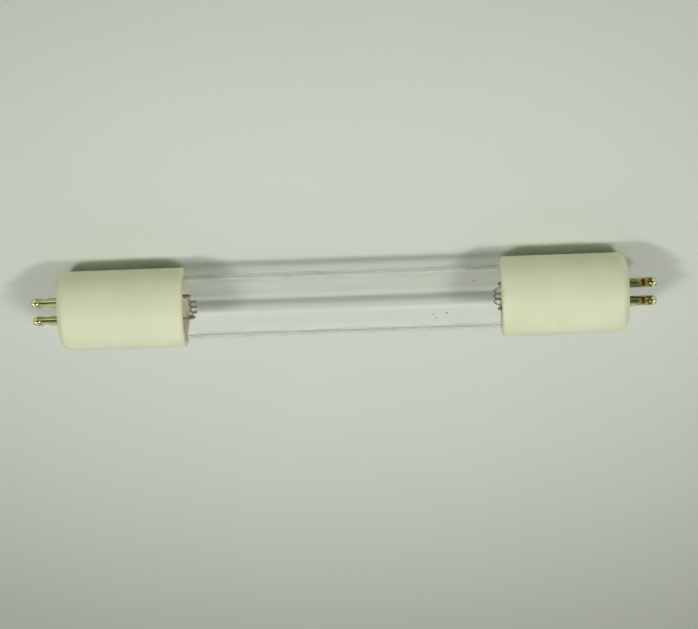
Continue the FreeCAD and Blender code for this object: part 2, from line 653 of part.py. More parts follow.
def main():
    """Build the lamp, check it and write one file for each piece."""
    fill_sheet()
    glass = glass_form()
    gas = gas_space()
    pieces, sealed_in = [], []
    for side in ENDS:
        end_pieces, end_sealed_in = build_end(side, glass)
        pieces += end_pieces
        sealed_in += end_sealed_in
    pieces.append(quartz_envelope("quartz_envelope", glass, gas, sealed_in))
    droplets = mercury_droplets("mercury_droplets")
    doc.recompute()
    check([(piece, 1) for piece in pieces] + [(droplets, len(DROPLETS))])
    os.makedirs("parts", exist_ok=True)
    for piece in [*pieces, droplets]:
        piece.Shape.exportStep(f"parts/{piece.Label}.step")


main()
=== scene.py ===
"""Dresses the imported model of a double-ended germicidal lamp and sets it on a studio floor.

The pieces and their places come from the frame. This file gives them their finishes, draws the
quartz with a finer skin, winds the two coils from their fine primary wire and strews grit on the
cement, all in metres and in the model's own frame.
"""

import logging
import math
from abc import ABC, abstractmethod
from dataclasses import dataclass
from enum import Enum
from typing import Any, Iterator

import bmesh
import bpy
from mathutils import Matrix, Vector


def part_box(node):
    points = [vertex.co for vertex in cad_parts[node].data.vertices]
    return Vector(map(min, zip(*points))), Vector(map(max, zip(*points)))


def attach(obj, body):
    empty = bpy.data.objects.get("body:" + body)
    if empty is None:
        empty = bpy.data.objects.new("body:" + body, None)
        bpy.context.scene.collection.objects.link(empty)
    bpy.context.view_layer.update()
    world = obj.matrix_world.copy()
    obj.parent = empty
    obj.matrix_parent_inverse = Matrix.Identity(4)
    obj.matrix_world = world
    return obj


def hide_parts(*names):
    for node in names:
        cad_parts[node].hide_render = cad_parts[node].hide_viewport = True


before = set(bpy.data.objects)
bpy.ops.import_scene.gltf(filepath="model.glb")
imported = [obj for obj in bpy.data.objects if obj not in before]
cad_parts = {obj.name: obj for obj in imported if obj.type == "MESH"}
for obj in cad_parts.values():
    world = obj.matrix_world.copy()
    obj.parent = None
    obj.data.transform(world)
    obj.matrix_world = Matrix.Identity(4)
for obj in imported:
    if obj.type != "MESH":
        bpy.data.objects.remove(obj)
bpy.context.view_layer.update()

MM = 0.001
BODY = "root"
LOG = logging.getLogger("lamp")

# Sockets of a Mix node that mixes colours: the second one's share, both colours, and the mixture.
SHARE, FIRST, SECOND, MIXED = 0, 6, 7, 2

Colour = tuple[float, float, float, float]
Ring = list[Vector]


class Side(Enum):
    """The two ends of the lamp, each with its sign along X."""

    LEFT = -1
    RIGHT = 1

    @property
    def word(self) -> str:
        """The end's name as it stands in the names of its pieces."""
        return self.name.lower()


class Row(Enum):
    """The two rows of pins, leads, foils and posts at an end."""

    FRONT = "front"
    REAR = "rear"


def linear(code: str) -> Colour:
    """Turns an sRGB hex colour into linear light.

    Args:
        code: The colour as a hash sign and six hex digits.

    Returns:
        Red, green and blue in linear light, and an alpha of one.
    """
    shares = [int(code[i:i + 2], 16) / 255 for i in (1, 3, 5)]
    light = [s / 12.92 if s <= 0.04045 else ((s + 0.055) / 1.055) ** 2.4 for s in shares]
    return (light[0], light[1], light[2], 1.0)


def add_node(tree: bpy.types.NodeTree, kind: str, feeds: dict | None = None, **settings: Any) -> Any:
    """Adds one node with its settings, and sets or links its inputs.

    Args:
        tree: The node tree that gets the node.
        kind: The node's type.
        feeds: For each input, by name or number, a value or the socket to link to it.
        **settings: Properties of the node.

    Returns:
        The new node.
    """
    node = tree.nodes.new(kind)
    for name, value in settings.items():
        setattr(node, name, value)
    for key, value in (feeds or {}).items():
        if isinstance(value, bpy.types.NodeSocket):
            tree.links.new(value, node.inputs[key])
        else:
            node.inputs[key].default_value = value
    return node


def fineness(millimetres: float) -> float:
    """The scale of a texture whose features measure this much."""
    return 1 / (millimetres * MM)


def blend(
    tree: bpy.types.NodeTree, share: bpy.types.NodeSocket, first: Any, second: Any,
    span: tuple[float, float] | None = None, most: float = 1.0,
) -> bpy.types.NodeSocket:
    """Mixes two colours.

    Args:
        tree: The material's node tree.
        share: The socket of the second colour's share, or of a value that the share follows.
        first: One colour, as a hex code or a socket.
        second: The other, likewise.
        span: The values between which the share rises smoothly from none to the most.
        most: The second colour's share past the span.

    Returns:
        The mixed colour's socket.
    """
    if span is not None:
        share = add_node(tree, "ShaderNodeMapRange", {
            "Value": share, "From Min": span[0], "From Max": span[1], "To Max": most,
        }, interpolation_type="SMOOTHSTEP").outputs["Result"]
    return add_node(tree, "ShaderNodeMix", {
        SHARE: share,
        FIRST: linear(first) if isinstance(first, str) else first,
        SECOND: linear(second) if isinstance(second, str) else second,
    }, data_type="RGBA").outputs[MIXED]


@dataclass(frozen=True)
class Finish(ABC):
    """A finish: what a piece is made of and how its surface was made."""

    name: str

    @abstractmethod
    def shade(self, tree: bpy.types.NodeTree, place: bpy.types.NodeSocket) -> bpy.types.NodeSocket:
        """Builds the finish's shader.

        Args:
            tree: The material's node tree.
            place: The socket of a point's place on the piece, in metres.

        Returns:
            The shader's socket.
        """

    def material(self) -> bpy.types.Material:
        """The material of this finish, which the first call builds.

        Returns:
            The material.
        """
        found = bpy.data.materials.get(self.name)
        if found is not None:
            return found
        made = bpy.data.materials.new(self.name)
        made.use_nodes = True
        tree = made.node_tree
        tree.nodes.clear()
        place = add_node(tree, "ShaderNodeTexCoord").outputs["Object"]
        add_node(tree, "ShaderNodeOutputMaterial", {"Surface": self.shade(tree, place)})
        return made


@dataclass(frozen=True)
class GlazedSteatite(Finish):
    """Pressed steatite under a thin satin glaze: broad soft lights, faint clouds, few iron specks."""

    name: str = "glazed_steatite"
    light: str = "#D9DDBA"
    cloud: str = "#D5D9B4"
    speck: str = "#8B8468"
    cloud_mm: float = 9.0
    cloud_span: tuple[float, float] = (0.35, 0.65)
    speck_cell_mm: float = 2.6
    speck_mm: float = 0.09
    speck_depth: float = 0.6
    peel_mm: float = 0.5
    peel_relief_mm: float = 0.05
    smoothest: float = 0.5
    roughest: float = 0.6

    def shade(self, tree: bpy.types.NodeTree, place: bpy.types.NodeSocket) -> bpy.types.NodeSocket:
        """Clouds and specks in the colour, and the glaze's faint orange peel.

        Args:
            tree: The material's node tree.
            place: The socket of a point's place.

        Returns:
            The shader's socket.
        """
        clouds = add_node(tree, "ShaderNodeTexNoise", {
            "Vector": place, "Scale": fineness(self.cloud_mm), "Detail": 4.0, "Roughness": 0.6,
        })
        glaze = blend(tree, clouds.outputs["Fac"], self.light, self.cloud, self.cloud_span)
        cells = add_node(tree, "ShaderNodeTexVoronoi", {
            "Vector": place, "Scale": fineness(self.speck_cell_mm),
        })
        reach = self.speck_mm / self.speck_cell_mm
        dots = add_node(tree, "ShaderNodeMapRange", {
            "Value": cells.outputs["Distance"], "From Min": reach / 2, "From Max": reach,
            "To Min": self.speck_depth, "To Max": 0.0,
        })
        peel = add_node(tree, "ShaderNodeTexNoise", {
            "Vector": place, "Scale": fineness(self.peel_mm), "Detail": 2.0,
        })
        bump = add_node(tree, "ShaderNodeBump", {
            "Height": peel.outputs["Fac"], "Strength": 0.12, "Distance": self.peel_relief_mm * MM,
        })
        gloss = add_node(tree, "ShaderNodeMapRange", {
            "Value": clouds.outputs["Fac"], "To Min": self.smoothest, "To Max": self.roughest,
        })
        return add_node(tree, "ShaderNodeBsdfPrincipled", {
            "Base Color": blend(tree, dots.outputs["Result"], glaze, self.speck),
            "Roughness": gloss.outputs["Result"], "IOR": 1.5,
            "Coat Weight": 0.5, "Coat Roughness": 0.4, "Normal": bump.outputs["Normal"],
        }).outputs["BSDF"]


@dataclass(frozen=True)
class FusedQuartz(Finish):
    """Clear drawn fused quartz: colourless, with dark edges where light is turned aside.

    Rays from lamps pass straight through it, weaker where they graze the wall, so that the tube
    casts the light shadow with darker rims that a real one casts.
    """

    name: str = "clear_fused_quartz"
    clear: str = "#FFFFFF"
    through: str = "#F9FAF8"
    grazing: str = "#A6A8A7"
    draw_mm: float = 0.35
    draw_length_mm: float = 150.0
    draw_relief_mm: float = 0.01
    rim_span: tuple[float, float] = (0.45, 0.95)

    def shade(self, tree: bpy.types.NodeTree, place: bpy.types.NodeSocket) -> bpy.types.NodeSocket:
        """Glass for the eye, and a tinted clear stand-in for lamps.

        Args:
            tree: The material's node tree.
            place: The socket of a point's place.

        Returns:
            The shader's socket.
        """
        drawn_out = add_node(tree, "ShaderNodeMapping", {
            "Vector": place, "Scale": (self.draw_mm / self.draw_length_mm, 1.0, 1.0),
        })
        lines = add_node(tree, "ShaderNodeTexNoise", {
            "Vector": drawn_out.outputs["Vector"], "Scale": fineness(self.draw_mm), "Detail": 2.0,
        })
        bump = add_node(tree, "ShaderNodeBump", {
            "Height": lines.outputs["Fac"], "Strength": 0.003, "Distance": self.draw_relief_mm * MM,
        })
        glass = add_node(tree, "ShaderNodeBsdfPrincipled", {
            "Base Color": linear(self.clear), "Roughness": 0.0, "IOR": 1.458,
            "Transmission Weight": 1.0, "Normal": bump.outputs["Normal"],
        })
        slant = add_node(tree, "ShaderNodeLayerWeight", {"Blend": 0.5})
        tint = blend(tree, slant.outputs["Facing"], self.through, self.grazing, self.rim_span)
        stand_in = add_node(tree, "ShaderNodeBsdfTransparent", {"Color": tint})
        path = add_node(tree, "ShaderNodeLightPath")
        lamp_ray = add_node(tree, "ShaderNodeMath", {
            0: path.outputs["Is Shadow Ray"], 1: path.outputs["Is Diffuse Ray"],
        }, operation="MAXIMUM")
        return add_node(tree, "ShaderNodeMixShader", {
            0: lamp_ray.outputs["Value"], 1: glass.outputs["BSDF"], 2: stand_in.outputs["BSDF"],
        }).outputs["Shader"]


@dataclass(frozen=True)
class BasingCement(Finish):
    """Baked basing cement, resin with marble flour: dull, sandy, browner where it is thick."""

    name: str = "tan_basing_cement"
    pale: str = "#FBF3D2"
    brown: str = "#EFE2B2"
    patch_mm: float = 1.6
    patch_span: tuple[float, float] = (0.38, 0.68)
    sand_mm: float = 0.22
    sand_relief_mm: float = 0.08

    def shade(self, tree: bpy.types.NodeTree, place: bpy.types.NodeSocket) -> bpy.types.NodeSocket:
        """Patches of two tans under a sandy relief.

        Args:
            tree: The material's node tree.
            place: The socket of a point's place.

        Returns:
            The shader's socket.
        """
        patches = add_node(tree, "ShaderNodeTexNoise", {
            "Vector": place, "Scale": fineness(self.patch_mm), "Detail": 5.0, "Roughness": 0.65,
        })
        sand = add_node(tree, "ShaderNodeTexNoise", {
            "Vector": place, "Scale": fineness(self.sand_mm), "Detail": 3.0, "Roughness": 0.7,
        })
        bump = add_node(tree, "ShaderNodeBump", {
            "Height": sand.outputs["Fac"], "Strength": 0.6, "Distance": self.sand_relief_mm * MM,
        })
        tan = blend(tree, patches.outputs["Fac"], self.pale, self.brown, self.patch_span)
        return add_node(tree, "ShaderNodeBsdfPrincipled", {
            "Base Color": tan, "Roughness": 0.85, "Normal": bump.outputs["Normal"],
        }).outputs["BSDF"]


@dataclass(frozen=True)
class PlatedBrass(Finish):
    """Drawn brass under thin olive nickel: golden at the crimp, with painted shade in the neck,
    bright-nosed.

    Its stretches are distances from the lamp's middle.
    """

    name: str
    # Share of the dark colour in the streaks, which also sets how deep the painted shade in the neck is.
    tarnish_and_shade_share: float
    worn_through: float
    plate: str = "#C9CB98"
    # The streaks' dark colour, which also paints the shade in the neck.
    tarnish_and_shade: str = "#474630"
    gold: str = "#BA9A3C"
    nose: str = "#DEDDAA"
    crimp_mm: tuple[float, float] = (70.2, 72.3)
    neck_mm: tuple[float, float] = (72.3, 73.3)
    edge_mm: float = 0.3
    streak_mm: float = 0.8
    streak_length_mm: float = 6.0
    streak_span: tuple[float, float] = (0.44, 0.58)
    streak_relief_mm: float = 0.02
    worn_mm: float = 0.7
    worn_span: tuple[float, float] = (0.38, 0.56)
    cleanness: float = 0.9
    roughest: float = 0.26
    smoothest: float = 0.14

    def band(
        self, tree: bpy.types.NodeTree, out: bpy.types.NodeSocket, low: float, high: float,
    ) -> bpy.types.NodeSocket:
        """A mask of the stretch between two distances from the lamp's middle.

        Args:
            tree: The material's node tree.
            out: The distance along the lamp from its middle.
            low: Where the stretch begins, in millimetres.
            high: Where it ends.

        Returns:
            The socket whose value is one inside the stretch.
        """
        rise = add_node(tree, "ShaderNodeMapRange", {
            "Value": out, "From Min": (low - self.edge_mm) * MM, "From Max": (low + self.edge_mm) * MM,
        }, interpolation_type="SMOOTHSTEP")
        fall = add_node(tree, "ShaderNodeMapRange", {
            "Value": out, "From Min": (high + self.edge_mm) * MM, "From Max": (high - self.edge_mm) * MM,
        }, interpolation_type="SMOOTHSTEP")
        return add_node(tree, "ShaderNodeMath", {
            0: rise.outputs["Result"], 1: fall.outputs["Result"],
        }, operation="MULTIPLY").outputs["Value"]

    def shade(self, tree: bpy.types.NodeTree, place: bpy.types.NodeSocket) -> bpy.types.NodeSocket:
        """Tarnish in streaks along the barrel, worn gold at the crimp, painted shade in the neck and a
        clean nose.

        Args:
            tree: The material's node tree.
            place: The socket of a point's place.

        Returns:
            The shader's socket.
        """
        along = add_node(tree, "ShaderNodeSeparateXYZ", {"Vector": place})
        out = add_node(tree, "ShaderNodeMath", {
            0: along.outputs["X"],
        }, operation="ABSOLUTE").outputs["Value"]
        drawn_out = add_node(tree, "ShaderNodeMapping", {
            "Vector": place, "Scale": (self.streak_mm / self.streak_length_mm, 1.0, 1.0),
        })
        streaks = add_node(tree, "ShaderNodeTexNoise", {
            "Vector": drawn_out.outputs["Vector"], "Scale": fineness(self.streak_mm),
            "Detail": 3.0, "Roughness": 0.6,
        })
        barrel = blend(
            tree, streaks.outputs["Fac"], self.plate, self.tarnish_and_shade,
            span=self.streak_span, most=self.tarnish_and_shade_share,
        )
        patches = add_node(tree, "ShaderNodeTexNoise", {
            "Vector": place, "Scale": fineness(self.worn_mm), "Detail": 3.0,
        })
        rubbed = add_node(tree, "ShaderNodeMapRange", {
            "Value": patches.outputs["Fac"], "From Min": self.worn_span[0],
            "From Max": self.worn_span[1], "To Max": self.worn_through,
        }, interpolation_type="SMOOTHSTEP")
        worn = add_node(tree, "ShaderNodeMath", {
            0: self.band(tree, out, *self.crimp_mm), 1: rubbed.outputs["Result"],
        }, operation="MULTIPLY")
        golden = blend(tree, worn.outputs["Value"], barrel, self.gold)
        # Painted shade: the neck ring is darkened towards the streaks' dark colour, standing in for the
        # shade in its groove.
        neck = add_node(tree, "ShaderNodeMath", {
            0: self.band(tree, out, *self.neck_mm), 1: self.tarnish_and_shade_share,
        }, operation="MULTIPLY")
        neck_shaded = blend(tree, neck.outputs["Value"], golden, self.tarnish_and_shade)
        tip = self.neck_mm[1]
        nose_span = ((tip - self.edge_mm) * MM, (tip + self.edge_mm) * MM)
        colour = blend(tree, out, neck_shaded, self.nose, nose_span, self.cleanness)
        bump = add_node(tree, "ShaderNodeBump", {
            "Height": streaks.outputs["Fac"], "Strength": 0.1, "Distance": self.streak_relief_mm * MM,
        })
        gloss = add_node(tree, "ShaderNodeMapRange", {
            "Value": patches.outputs["Fac"], "To Min": self.roughest, "To Max": self.smoothest,
        })
        return add_node(tree, "ShaderNodeBsdfPrincipled", {
            "Base Color": colour, "Metallic": 1.0,
            "Roughness": gloss.outputs["Result"], "Normal": bump.outputs["Normal"],
        }).outputs["BSDF"]


@dataclass(frozen=True)
class WireFinish(Finish):
    """Drawn or coated wire: a metal between two tones, in streaks of a real width."""

    light: str = "#B3AE94"
    dark: str = "#75705A"
    streak_mm: float = 0.25
    streak_stretch: float = 0.3
    streak_span: tuple[float, float] = (0.35, 0.65)
    roughness: float = 0.55
    metallic: float = 1.0
    relief_mm: float = 0.01

    def shade(self, tree: bpy.types.NodeTree, place: bpy.types.NodeSocket) -> bpy.types.NodeSocket:
        """Streaks of two tones, and a relief of the same streaks.

        Args:
            tree: The material's node tree.
            place: The socket of a point's place.

        Returns:
            The shader's socket.
        """
        drawn_out = add_node(tree, "ShaderNodeMapping", {
            "Vector": place, "Scale": (self.streak_stretch, 1.0, 1.0),
        })
        streaks = add_node(tree, "ShaderNodeTexNoise", {
            "Vector": drawn_out.outputs["Vector"], "Scale": fineness(self.streak_mm),
            "Detail": 4.0, "Roughness": 0.65,
        })
        bump = add_node(tree, "ShaderNodeBump", {
            "Height": streaks.outputs["Fac"], "Strength": 0.4, "Distance": self.relief_mm * MM,
        })
        tone = blend(tree, streaks.outputs["Fac"], self.light, self.dark, self.streak_span)
        return add_node(tree, "ShaderNodeBsdfPrincipled", {
            "Base Color": tone, "Metallic": self.metallic,
            "Roughness": self.roughness, "Normal": bump.outputs["Normal"],
        }).outputs["BSDF"]


@dataclass(frozen=True)
class LiquidMercury(Finish):
    """A droplet of mercury: a mirror, faintly clouded by a skin of oxide."""

    name: str = "liquid_mercury"
    mirror: str = "#DADCDD"
    skin: str = "#A9ACAE"
    skin_mm: float = 0.2

    def shade(self, tree: bpy.types.NodeTree, place: bpy.types.NodeSocket) -> bpy.types.NodeSocket:
        """A mirror between two greys.

        Args:
            tree: The material's node tree.
            place: The socket of a point's place.

        Returns:
            The shader's socket.
        """
        film = add_node(tree, "ShaderNodeTexNoise", {
            "Vector": place, "Scale": fineness(self.skin_mm), "Detail": 3.0,
        })
        return add_node(tree, "ShaderNodeBsdfPrincipled", {
            "Base Color": blend(tree, film.outputs["Fac"], self.mirror, self.skin),
            "Metallic": 1.0, "Roughness": 0.08,
        }).outputs["BSDF"]


@dataclass(frozen=True)
class StudioPaper(Finish):
    """Matt pale paper under the lamp, with a barely visible unevenness."""

    name: str = "matt_studio_paper"
    light: str = "#D0D6C9"
    deep: str = "#CDD3C6"
    cloud_mm: float = 40.0

    def shade(self, tree: bpy.types.NodeTree, place: bpy.types.NodeSocket) -> bpy.types.NodeSocket:
        """Two close tones in wide clouds.

        Args:
            tree: The material's node tree.
            place: The socket of a point's place.

        Returns:
            The shader's socket.
        """
        clouds = add_node(tree, "ShaderNodeTexNoise", {
            "Vector": place, "Scale": fineness(self.cloud_mm), "Detail": 2.0,
        })
        return add_node(tree, "ShaderNodeBsdfPrincipled", {
            "Base Color": blend(tree, clouds.outputs["Fac"], self.light, self.deep),
            "Roughness": 0.9, "Specular IOR Level": 0.2,
        }).outputs["BSDF"]


STEATITE = GlazedSteatite()
QUARTZ = FusedQuartz()
CEMENT = BasingCement()
PIN_PLATING = {
    Side.LEFT: PlatedBrass("nickel_plated_brass", tarnish_and_shade_share=0.25, worn_through=0.1),
    Side.RIGHT: PlatedBrass("worn_nickel_plated_brass", tarnish_and_shade_share=0.8, worn_through=0.9),
}
MERCURY = LiquidMercury()
PAPER = StudioPaper()
NICKEL = WireFinish("drawn_nickel_wire")
MOLYBDENUM = WireFinish(
    "rolled_molybdenum_foil", light="#9C9CA0", dark="#77777C", streak_mm=0.6, roughness=0.35,
)
TUNGSTEN = WireFinish(
    "emitter_coated_tungsten", light="#B4B09C", dark="#77735F", streak_mm=0.18, roughness=0.6,
    metallic=0.3, relief_mm=0.02,
)


def dress(node: str, finish: Finish) -> None:
    """Gives a node of the frame its finish in every material slot.

    Args:
        node: The node's name.
        finish: The finish that it gets.
    """
    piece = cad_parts[node]
    if not piece.material_slots:
        piece.data.materials.append(finish.material())
    for slot in piece.material_slots:
        slot.material = finish.material()
    LOG.info("dressed %s in %s", node, finish.name)


def place_piece(name: str, mesh: bpy.types.Mesh, finish: Finish) -> bpy.types.Object:
    """Makes a piece of a mesh, and lets it ride with the lamp.

    Args:
        name: The piece's name.
        mesh: Its mesh, in the model's own frame.
        finish: Its finish.

    Returns:
        The piece.
    """
    mesh.name = name
    mesh.materials.clear()
    mesh.materials.append(finish.material())
    for face in mesh.polygons:
        face.material_index = 0
        face.use_smooth = True
    piece = bpy.data.objects.new(name, mesh)
    bpy.context.collection.objects.link(piece)
    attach(piece, BODY)
    LOG.info("%s: %d faces", name, len(mesh.polygons))
    return piece


def new_tree(name: str, sizes: dict[str, float]) -> tuple[Any, Any, Any]:
    """Starts a Geometry Nodes tree with one named input for each size.

    Args:
        name: The tree's name.
        sizes: Each input's name and its value.

    Returns:
        The tree, its input node and its output node.
    """
    tree = bpy.data.node_groups.new(name, "GeometryNodeTree")
    faces = tree.interface
    faces.new_socket("Geometry", in_out="INPUT", socket_type="NodeSocketGeometry")
    faces.new_socket("Geometry", in_out="OUTPUT", socket_type="NodeSocketGeometry")
    for label, value in sizes.items():
        socket = faces.new_socket(label, in_out="INPUT", socket_type="NodeSocketFloat")
        socket.default_value = value
    return tree, add_node(tree, "NodeGroupInput"), add_node(tree, "NodeGroupOutput")


def grow(base: bpy.types.Object, tree: bpy.types.NodeTree, sizes: dict[str, float]) -> bpy.types.Mesh:
    """Runs a Geometry Nodes tree on an object and keeps the plain mesh that comes out.

    Args:
        base: The object that the tree works on. It is removed.
        tree: The tree.
        sizes: Values for the tree's named inputs.

    Returns:
        The mesh.
    """
    bpy.context.collection.objects.link(base)
    nodes = base.modifiers.new(tree.name, "NODES")
    nodes.node_group = tree
    sockets = {s.name: s.identifier for s in tree.interface.items_tree if s.in_out == "INPUT"}
    for label, value in sizes.items():
        nodes[sockets[label]] = value
    bpy.context.view_layer.update()
    seen = base.evaluated_get(bpy.context.evaluated_depsgraph_get())
    mesh = bpy.data.meshes.new_from_object(seen)
    base.modifiers.remove(nodes)
    bpy.data.objects.remove(base)
    return mesh


@dataclass
class LampFrame:
    """The lamp's own lines, in millimetres: its axis, and how the row of pins is turned about it."""

    turn: float = math.radians(-22.5)
    base_length: float = 30.0

    @property
    def face(self) -> float:
        """From the lamp's middle to the outer face of a base."""
        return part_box("ceramic_base_right")[1].x / MM

    @property
    def axis_height(self) -> float:
        """Height of the lamp's axis."""
        low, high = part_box("quartz_envelope")
        return (low.z + high.z) / 2 / MM

    def middle(self) -> Matrix:
        """Places what is drawn about the x axis on the lamp's axis, turned as its seals are."""
        return Matrix.Translation((0, 0, self.axis_height)) @ Matrix.Rotation(self.turn, 4, "X")

    def end(self, side: Side) -> Matrix:
        """Places what is drawn in an end's own frame: x = 0 at the base's face, +x inwards.

        Args:
            side: The end.

        Returns:
            The way from the end's frame to the lamp's, in millimetres.
        """
        out = Matrix.Translation((side.value * self.face, 0, self.axis_height))
        half_turn = Matrix.Rotation(math.pi if side is Side.RIGHT else 0.0, 4, "Z")
        return out @ Matrix.Rotation(self.turn, 4, "X") @ half_turn


@dataclass
class QuartzTube:
    """The quartz in one piece: a round tube drawn down at both ends to flat pressed seals.

    Each skin is a row of rings. A ring runs from the round form to the flat one by a share, and
    its four stretches are paired as the drawn-down form is: two arcs and two flats. The outer
    skin is larger than the solid by the wetting, which closes the gap to what it lies against.
    """

    lamp: LampFrame
    wall: float = 1.0
    seal_thickness: float = 3.0
    seal_length: float = 9.0
    shoulder: float = 6.0
    edge_round: float = 0.4
    slit_height: float = 0.8
    slit_side_wall: float = 2.0
    stub_radius: float = 1.6
    stub_bore: float = 0.6
    stub_cap: float = 1.2
    stub_round: float = 1.4
    channel_gap: float = 0.1
    wetting: float = 0.02
    flat_steps: int = 56
    arc_steps: int = 24
    tube_rings: int = 40
    shoulder_rings: int = 14
    seal_rings: int = 6
    channel_rings: int = 8
    edge_swings: tuple[float, ...] = (22.5, 45.0, 67.5, 90.0)
    stub_swings: tuple[float, ...] = (85.0, 70.0, 50.0, 30.0, 15.0, 0.0)

    @property
    def radius(self) -> float:
        """Outside radius of the round tube."""
        low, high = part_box("quartz_envelope")
        return (high.z - low.z) / 2 / MM

    @property
    def seal_end(self) -> float:
        """From the lamp's middle to the end of a seal."""
        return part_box("quartz_envelope")[1].x / MM

    @property
    def stub_end(self) -> float:
        """From the lamp's middle to the stub's melted tip."""
        return -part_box("quartz_envelope")[0].x / MM

    def ring(self, x: float, radius: float, width: float, height: float, share: float) -> Ring:
        """One ring between a circle and a flat outline with round ends.

        Args:
            x: The ring's place along the lamp.
            radius: The circle's radius.
            width: Half the flat outline's width.
            height: Half its thickness.
            share: 0 for the circle, 1 for the flat outline.

        Returns:
            The ring's points, the same number for every ring.
        """
        straight = width - height
        corner = math.atan2(height, straight)
        pairs = []
        for step in range(self.arc_steps):
            part = step / self.arc_steps
            bend = math.pi * (part - 0.5)
            flat = (straight + height * math.cos(bend), height * math.sin(bend))
            pairs.append((corner * (2 * part - 1), flat))
        for step in range(self.flat_steps):
            part = step / self.flat_steps
            angle = corner + (math.pi - 2 * corner) * part
            pairs.append((angle, (straight * (1 - 2 * part), height)))
        half = []
        for angle, flat in pairs:
            full = Vector((x, radius * math.cos(angle), radius * math.sin(angle)))
            half.append(full.lerp(Vector((x, *flat)), share))
        return half + [Vector((p.x, -p.y, -p.z)) for p in half]

    def drawn_down(self, radius: float, width: float, height: float) -> Iterator[Ring]:
        """Draws the right shoulder, from the round tube to the flat seal.

        Args:
            radius: The tube's radius.
            width: Half the flat outline's width.
            height: Half its thickness.

        Returns:
            The shoulder's rings.
        """
        root = self.seal_end - self.seal_length
        for number in range(self.shoulder_rings + 1):
            share = number / self.shoulder_rings
            x = root - self.shoulder * (1 - share)
            yield self.ring(x, radius, width, height, share)

    def tube(self, radius: float, width: float, height: float) -> Iterator[Ring]:
        """Draws the round tube, without its two ends.

        Args:
            radius: The tube's radius.
            width: Half the width of the flat outline that the rings are paired with.
            height: Half that outline's thickness.

        Returns:
            The tube's rings.
        """
        half = self.seal_end - self.seal_length - self.shoulder
        for number in range(1, self.tube_rings):
            yield self.ring(half * (2 * number / self.tube_rings - 1), radius, width, height, 0)

    @staticmethod
    def mirrored(rings: list[Ring]) -> list[Ring]:
        """The same rings at the other end, in order from there."""
        return [[Vector((-p.x, p.y, p.z)) for p in ring] for ring in reversed(rings)]

    def outer_rings(self) -> list[Ring]:
        """Draws the outer skin.

        Returns:
            Its rings, from the stub's tip to the end of the right seal.
        """
        radius, height = self.radius + self.wetting, self.seal_thickness / 2 + self.wetting
        right = list(self.drawn_down(radius, radius, height))
        root, end = self.seal_end - self.seal_length, self.seal_end
        run = end - self.edge_round - root
        seal = [
            self.ring(root + run * n / self.seal_rings, radius, radius, height, 1)
            for n in range(1, self.seal_rings + 1)
        ]
        for swing in map(math.radians, self.edge_swings):
            inset = self.edge_round * (1 - math.cos(swing))
            x = end - self.edge_round * (1 - math.sin(swing))
            seal.append(self.ring(x, radius, radius - inset, height - inset, 1))
        left = self.mirrored(right + seal)
        stub = []
        for swing in map(math.radians, self.stub_swings):
            inset = self.stub_round * (1 - math.cos(swing))
            x = -self.stub_end + self.stub_round * (1 - math.sin(swing))
            stub.append(self.ring(x, self.stub_radius - inset, radius, height, 0))
        stub.append(self.ring(-self.seal_end, self.stub_radius, radius, height, 0))
        return stub + left + list(self.tube(radius, radius, height)) + right + seal

    def inner_rings(self) -> list[Ring]:
        """Draws the skin of the gas space.

        Returns:
            Its rings, from the exhaust channel to the right slit.
        """
        radius, height = self.radius - self.wall, self.slit_height / 2
        width = self.radius - self.slit_side_wall
        right = list(self.drawn_down(radius, width, height))
        root = self.seal_end - self.seal_length
        first, last = -(self.stub_end - self.stub_cap), -(root + self.channel_gap)
        channel = [
            self.ring(
                first + (last - first) * n / self.channel_rings, self.stub_bore, width, height, 0,
            )
            for n in range(self.channel_rings + 1)
        ]
        left = self.mirrored(right)
        return channel + left + list(self.tube(radius, width, height)) + right

    @staticmethod
    def skin(shape: bmesh.types.BMesh, rings: list[Ring], outwards: bool) -> None:
        """Joins rings by faces and closes both ends with a fan.

        Args:
            shape: The mesh that gets the skin.
            rings: The rings in order along +x.
            outwards: True for the outer skin, False for the skin of the gas space.
        """
        rows = [[shape.verts.new(p) for p in ring] for ring in rings]
        count = len(rows[0])
        faces = []
        for low, high in zip(rows, rows[1:]):
            for number in range(count):
                after = (number + 1) % count
                faces.append((low[number], high[number], high[after], low[after]))
        for row, forwards in ((rows[0], True), (rows[-1], False)):
            centre = sum((v.co for v in row), Vector()) / count
            pole = shape.verts.new(centre)
            for number in range(count):
                pair = (row[number], row[(number + 1) % count])
                faces.append((pole, *pair) if forwards else (pole, *reversed(pair)))
        for corners in faces:
            shape.faces.new(tuple(reversed(corners)) if outwards else corners)

    def build(self) -> None:
        """Builds both skins and puts the piece in the place of the plain quartz."""
        shape = bmesh.new()
        self.skin(shape, self.outer_rings(), outwards=True)
        self.skin(shape, self.inner_rings(), outwards=False)
        shape.transform(Matrix.Scale(MM, 4) @ self.lamp.middle())
        mesh = bpy.data.meshes.new("quartz_tube")
        shape.to_mesh(mesh)
        shape.free()
        piece = place_piece("quartz_tube", mesh, QUARTZ)
        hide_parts("quartz_envelope")


